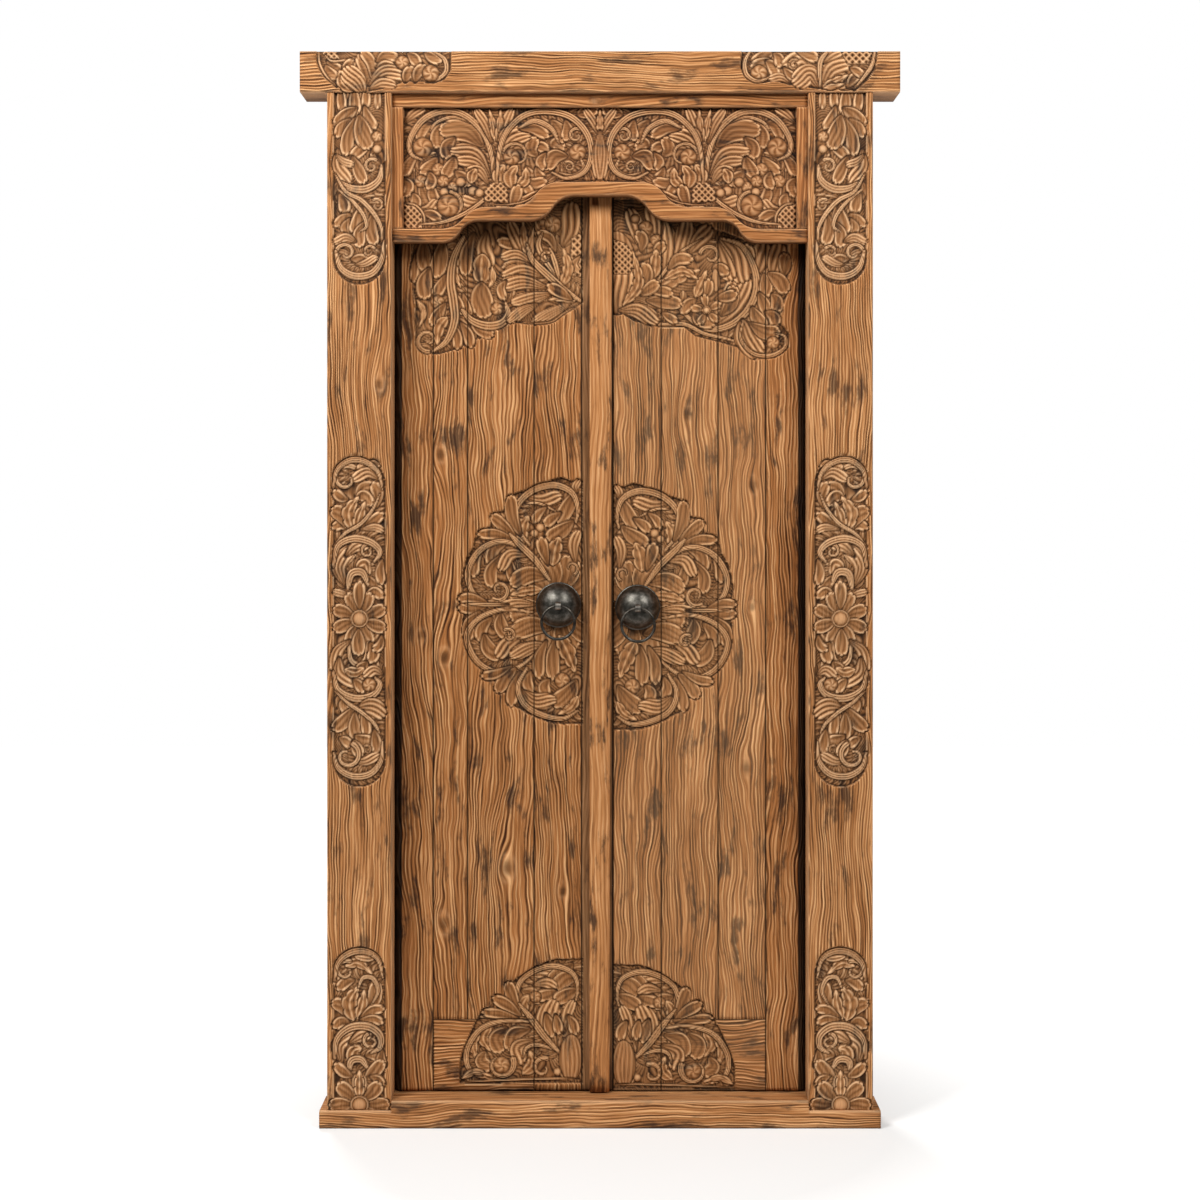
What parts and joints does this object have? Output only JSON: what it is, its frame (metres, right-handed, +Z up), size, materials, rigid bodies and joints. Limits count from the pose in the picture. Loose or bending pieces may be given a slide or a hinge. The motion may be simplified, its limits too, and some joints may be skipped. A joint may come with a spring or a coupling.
{
  "type": "carved double door in its frame",
  "caption": "Weathered teak double door in its frame, with scroll-carved posts, lintel, arched pelmet and leaves; the leaves swing inward on wooden pins and carry ring pulls.",
  "frame": {"origin": "middle of the sill's underside", "axes": "+Z up, -Y towards the viewer of the carved front, +X to that viewer's right"},
  "size_m": [1.226, 0.122, 2.2],
  "materials": {
    "frame_teak": "weathered, brushed",
    "pelmet_teak": "weathered, smoothed",
    "leaf_teak": "weathered, rippled",
    "dark_bronze": "dark patina, satin"
  },
  "bodies": {
    "frame": {"sill": "frame_teak", "lintel": "frame_teak", "left_post": "frame_teak", "right_post": "frame_teak", "pelmet_top_rail": "pelmet_teak", "pelmet_left_stile": "pelmet_teak", "pelmet_right_stile": "pelmet_teak", "pelmet_arch_rail": "pelmet_teak", "pelmet_panel": "pelmet_teak"},
    "left_leaf": {"left_hanging_stile": "leaf_teak", "left_board_1": "leaf_teak", "left_board_2": "leaf_teak", "left_board_3": "leaf_teak", "left_meeting_stile": "leaf_teak", "left_bottom_rail": "leaf_teak", "left_lower_ledge": "leaf_teak", "left_middle_ledge": "leaf_teak", "left_upper_ledge": "leaf_teak", "meeting_bar": "leaf_teak", "left_pull_boss": "dark_bronze", "left_pull_eye": "dark_bronze", "left_pull_washer": "dark_bronze"},
    "right_leaf": {"right_hanging_stile": "leaf_teak", "right_board_1": "leaf_teak", "right_board_2": "leaf_teak", "right_board_3": "leaf_teak", "right_bottom_rail": "leaf_teak", "right_lower_ledge": "leaf_teak", "right_middle_ledge": "leaf_teak", "right_upper_ledge": "leaf_teak", "right_pull_boss": "dark_bronze", "right_pull_eye": "dark_bronze", "right_pull_washer": "dark_bronze"},
    "left_ring": {"left_pull_ring": "dark_bronze"},
    "right_ring": {"right_pull_ring": "dark_bronze"}
  },
  "joints": [
    {"name": "left_leaf_swing", "type": "hinge", "parent": "frame", "child": "left_leaf", "pos_m": [-0.412, 0.033, 0.059], "axis": [0, 0, 1], "range_deg": [0, 95]},
    {"name": "right_leaf_swing", "type": "hinge", "parent": "frame", "child": "right_leaf", "pos_m": [0.412, 0.033, 0.059], "axis": [0, 0, -1], "range_deg": [0, 95]},
    {"name": "left_ring_swing", "type": "hinge", "parent": "left_leaf", "child": "left_ring", "pos_m": [-0.086, -0.032, 1.0655], "axis": [-1, 0, 0], "range_deg": [-36, 120]},
    {"name": "right_ring_swing", "type": "hinge", "parent": "right_leaf", "child": "right_ring", "pos_m": [0.078, -0.032, 1.0605], "axis": [-1, 0, 0], "range_deg": [-36, 120]}
  ]
}
